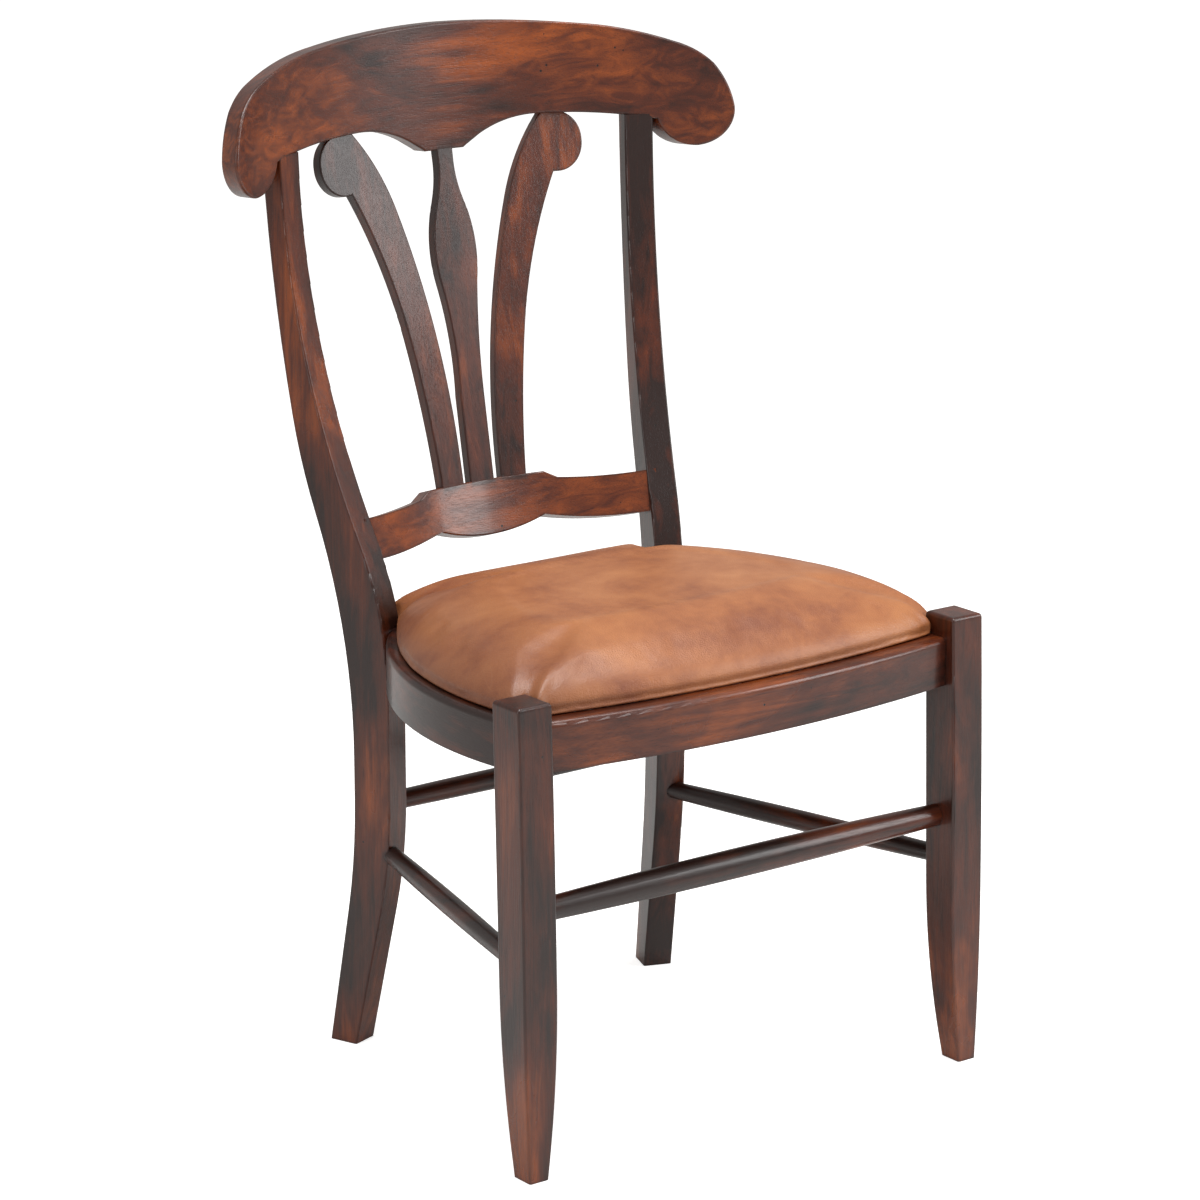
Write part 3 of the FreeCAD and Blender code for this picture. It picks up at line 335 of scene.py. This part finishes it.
leather_node = nodes["seat_leather"]
leather_form = BVHTree.FromPolygons(
    [leather_node.matrix_world @ vertex.co for vertex in leather_node.data.vertices],
    [tuple(face.vertices) for face in leather_node.data.polygons],
)
leather_low = min((leather_node.matrix_world @ vertex.co).z for vertex in leather_node.data.vertices)
SHOULDER = leather_low + SHOULDER_RISE


def side_reach(angle, height):
    """How far out the seat's side lies at one angle about the seat's centre."""
    outward = Vector((math.cos(angle), math.sin(angle), 0))
    start = Vector((SEAT_CENTRE.x, SEAT_CENTRE.y, height)) + outward
    hit = leather_form.ray_cast(start, -outward)[0]
    return (Vector((hit.x, hit.y)) - SEAT_CENTRE).length


def top_height(x, y):
    """How high the seat stands at a place."""
    hit = leather_form.ray_cast(Vector((x, y, 1.0)), Vector((0, 0, -1)))[0]
    return hit.z if hit else SHOULDER


def rim_square(place):
    """The points of a unit square's rim, counted round from its lower left corner."""
    side, step = divmod(place, TOP_CELLS)
    along = 2 * step / TOP_CELLS - 1
    return ((along, -1), (1, along), (-along, 1), (-1, -along))[side]


def seat_point(u, v):
    """A point of the top for one place in the square from -1 to 1 both ways."""
    share = max(abs(u), abs(v))
    angle = math.atan2(v, u)
    reach = share * (side_reach(angle, SHOULDER) - RIM_INSET)
    x = SEAT_CENTRE.x + reach * math.cos(angle)
    y = SEAT_CENTRE.y + reach * math.sin(angle)
    lift = DOME_LIFT * (1 - share ** 2) - EDGE_DROP * share ** 6
    return Vector((x, y, top_height(x, y) + lift))


def side_points(angle):
    """The points down one line of the seat's side and under its edge."""
    line = []
    top = SHOULDER - EDGE_DROP
    for level in range(SIDE_LEVELS):
        height = top - (top - leather_low - FOOT_RISE) * (level + 1) / SIDE_LEVELS
        reach = side_reach(angle, max(height, leather_low + FOOT_RISE))
        line.append((reach, height))
    foot = line[-1][0]
    for level in range(TURNED_LEVELS):
        line.append((foot - TURNED_WIDTH * (level + 1) / TURNED_LEVELS, leather_low))
    return [
        Vector((SEAT_CENTRE.x + reach * math.cos(angle), SEAT_CENTRE.y + reach * math.sin(angle), height))
        for reach, height in line
    ]


points = []
across = TOP_CELLS + 1
for row in range(across):
    for column in range(across):
        points.append(seat_point(2 * column / TOP_CELLS - 1, 2 * row / TOP_CELLS - 1))
faces = []
for row in range(TOP_CELLS):
    for column in range(TOP_CELLS):
        first = row * across + column
        faces.append((first, first + 1, first + across + 1, first + across))

rim_count = 4 * TOP_CELLS
rings = [[]]
for place in range(rim_count):
    u, v = rim_square(place)
    column = round((u + 1) * TOP_CELLS / 2)
    row = round((v + 1) * TOP_CELLS / 2)
    rings[0].append(row * across + column)
levels = SIDE_LEVELS + TURNED_LEVELS
rings += [[0] * rim_count for level in range(levels)]
for place in range(rim_count):
    u, v = rim_square(place)
    for level, point in enumerate(side_points(math.atan2(v, u)), start=1):
        rings[level][place] = len(points)
        points.append(point)
for level in range(levels):
    for place in range(rim_count):
        after = (place + 1) % rim_count
        upper, lower = rings[level], rings[level + 1]
        faces.append((upper[place], lower[place], lower[after], upper[after]))

sheet = bpy.data.meshes.new("seat_cover")
sheet.from_pydata(points, [], faces)
sheet.update()
seat_cover = bpy.data.objects.new("seat_cover", sheet)
scene.collection.objects.link(seat_cover)

# The turned edge and the foot of the sides are held while pressure swells the rest. Three points in
# four then pass the travel limit, so the limit sets most of the swell, and not the pressure.
PRESSURE = 4.0
SWELLING_FRAMES = 20
TRAVEL_LIMIT = 4 * MILLIMETRE
held = seat_cover.vertex_groups.new(name="held")
held.add([number for ring in rings[SIDE_LEVELS:] for number in ring], 1.0, "REPLACE")


def applied(item):
    """Bake an object's modifiers into its mesh."""
    result = bpy.data.meshes.new_from_object(item.evaluated_get(bpy.context.evaluated_depsgraph_get()))
    item.modifiers.clear()
    item.data = result


cloth = seat_cover.modifiers.new("cloth", "CLOTH")
cloth.settings.quality = 6
cloth.settings.mass = 0.4
cloth.settings.tension_stiffness = 30
cloth.settings.compression_stiffness = 30
cloth.settings.bending_stiffness = 2
cloth.settings.use_pressure = True
cloth.settings.uniform_pressure_force = PRESSURE
cloth.settings.vertex_group_mass = "held"
cloth.settings.effector_weights.gravity = 0
cloth.collision_settings.use_collision = False
cloth.point_cache.frame_start = 1
cloth.point_cache.frame_end = SWELLING_FRAMES
for frame_number in range(1, SWELLING_FRAMES + 1):
    scene.frame_set(frame_number)
applied(seat_cover)
scene.frame_set(1)
for vertex, start in zip(seat_cover.data.vertices, points):
    travel = vertex.co - start
    if travel.length > TRAVEL_LIMIT:
        vertex.co = start + travel.normalized() * TRAVEL_LIMIT

finer = seat_cover.modifiers.new("finer", "SUBSURF")
finer.levels = 1
applied(seat_cover)

# Shallow grooves pucker the leather over each front leg and fade out to both sides
FOLD_DEPTH = 1.6 * MILLIMETRE
FOLD_REACH = 45 * MILLIMETRE
FOLD_PITCH = 16 * MILLIMETRE
FOLD_FOOT = 4 * MILLIMETRE
corner_angles = [math.atan2(-0.17, 0.24), math.atan2(-0.17, -0.24)]
seat_cover.data.update()
moves = []
for vertex in seat_cover.data.vertices:
    flat = Vector((vertex.co.x, vertex.co.y)) - SEAT_CENTRE
    angle = math.atan2(flat.y, flat.x)
    move = 0.0
    for corner_angle in corner_angles:
        outer = side_reach(corner_angle, SHOULDER)
        around = (angle - corner_angle) * outer
        inward = outer - flat.length
        near = abs(around) < FOLD_REACH and inward < FOLD_REACH
        if near and vertex.co.z > leather_low + FOLD_FOOT:
            fade = math.cos(math.pi / 2 * around / FOLD_REACH) ** 2 * (1 - max(inward, 0) / FOLD_REACH)
            move -= FOLD_DEPTH * fade * (0.5 + 0.5 * math.cos(2 * math.pi * around / FOLD_PITCH))
    moves.append(vertex.normal * move)
for vertex, move in zip(seat_cover.data.vertices, moves):
    vertex.co += move

thick = seat_cover.modifiers.new("thick", "SOLIDIFY")
thick.thickness = HIDE_THICKNESS
thick.offset = -1
applied(seat_cover)
for face in seat_cover.data.polygons:
    face.use_smooth = True


PATCH_SIZE = 95 * MILLIMETRE
PEBBLE_SIZE = 1.7 * MILLIMETRE
VEIN_SPACING = 26 * MILLIMETRE
PEBBLE_RELIEF = 0.5 * MILLIMETRE


def tanned_leather(name):
    """Mottled tan leather with a pebble grain, faint veins and a soft sheen, darker to the left with painted
    shade.
    """
    material, tree = new_material(name)
    place = add(tree, "ShaderNodeTexCoord").outputs["Object"]
    patches = add(tree, "ShaderNodeTexNoise", (), {"Vector": place},
                  {"Scale": 1 / PATCH_SIZE, "Detail": 5, "Roughness": 0.66, "Distortion": 0.2})
    ramp = add(tree, "ShaderNodeValToRGB", (), {"Fac": patches.outputs["Fac"]})
    stops = ramp.color_ramp.elements
    stops[0].position, stops[0].color = 0.28, linear("#82462A")
    stops[1].position, stops[1].color = 0.72, linear("#BE7C4C")
    middle = stops.new(0.5)
    middle.color = linear("#A9683E")

    # Painted shade: dark purple brown towards the left end
    apart = add(tree, "ShaderNodeSeparateXYZ", (), {0: place})
    left_shade_mask = add(tree, "ShaderNodeMapRange", (), {"Value": apart.outputs["X"]},
                   {"From Min": -0.13, "From Max": -0.27, "To Min": 0, "To Max": 0.5})
    left_shaded = add(tree, "ShaderNodeMix", {"data_type": "RGBA"},
                   {0: left_shade_mask.outputs[0], 6: ramp.outputs["Color"]}, {7: linear("#4A2420")})

    # Pebble grain and pale veins of old wrinkles
    pebbles = add(tree, "ShaderNodeTexVoronoi", (), {"Vector": place}, {"Scale": 1 / PEBBLE_SIZE})
    veins = add(tree, "ShaderNodeTexVoronoi", {"feature": "DISTANCE_TO_EDGE"}, {"Vector": place},
                {"Scale": 1 / VEIN_SPACING})
    vein = add(tree, "ShaderNodeMapRange", (), {"Value": veins.outputs["Distance"]},
               {"From Min": 0, "From Max": 0.02, "To Min": 0.07, "To Max": 0})
    veined = add(tree, "ShaderNodeMix", {"data_type": "RGBA"},
                 {0: vein.outputs[0], 6: left_shaded.outputs[2]}, {7: linear("#B98A66")})
    bump = add(tree, "ShaderNodeBump", (), {"Height": pebbles.outputs["Distance"]},
               {"Strength": 0.5, "Distance": PEBBLE_RELIEF})
    gloss = add(tree, "ShaderNodeMapRange", (), {"Value": patches.outputs["Fac"]},
                {"From Min": 0.3, "From Max": 0.7, "To Min": 0.5, "To Max": 0.38})
    shader = add(tree, "ShaderNodeBsdfPrincipled", (),
                 {"Base Color": veined.outputs[2], "Roughness": gloss.outputs[0], "Normal": bump.outputs[0]},
                 {"Coat Weight": 0.2, "Coat Roughness": 0.3})
    add(tree, "ShaderNodeOutputMaterial", (), {"Surface": shader.outputs[0]})
    return material


# The foam follows the leather's form from inside, drawn in so that none of it comes through
FOAM_SHRINK = 0.984
FOAM_SLACK = 4 * MILLIMETRE
foam_mesh = nodes["seat_foam"].data.copy()
foam_edit = bmesh.new()
foam_edit.from_mesh(foam_mesh)
bmesh.ops.remove_doubles(foam_edit, verts=foam_edit.verts, dist=0.00001)
foam_low = min(vertex.co.z for vertex in foam_edit.verts)
for vertex in foam_edit.verts:
    flat = Vector((vertex.co.x, vertex.co.y)) - SEAT_CENTRE
    share = min(1.0, flat.length / side_reach(math.atan2(flat.y, flat.x), SHOULDER))
    rise = min(1.0, (vertex.co.z - foam_low) / (SHOULDER - foam_low))
    vertex.co.x = SEAT_CENTRE.x + flat.x * FOAM_SHRINK
    vertex.co.y = SEAT_CENTRE.y + flat.y * FOAM_SHRINK
    vertex.co.z += rise * (DOME_LIFT * (1 - share ** 2) - EDGE_DROP * share ** 4 - FOAM_SLACK)
foam_edit.to_mesh(foam_mesh)
foam_edit.free()
seat_filling = bpy.data.objects.new("seat_filling", foam_mesh)
scene.collection.objects.link(seat_filling)
foam_mesh.materials.clear()
foam_mesh.materials.append(seat_foam_stuff)
finish_node("seat_foam", seat_foam_stuff)
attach(seat_filling, "root")
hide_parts("seat_foam")

leather = tanned_leather("aniline_dyed_leather")
finish_node("seat_leather", leather)
seat_cover.data.materials.clear()
seat_cover.data.materials.append(leather)
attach(seat_cover, "root")
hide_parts("seat_leather")
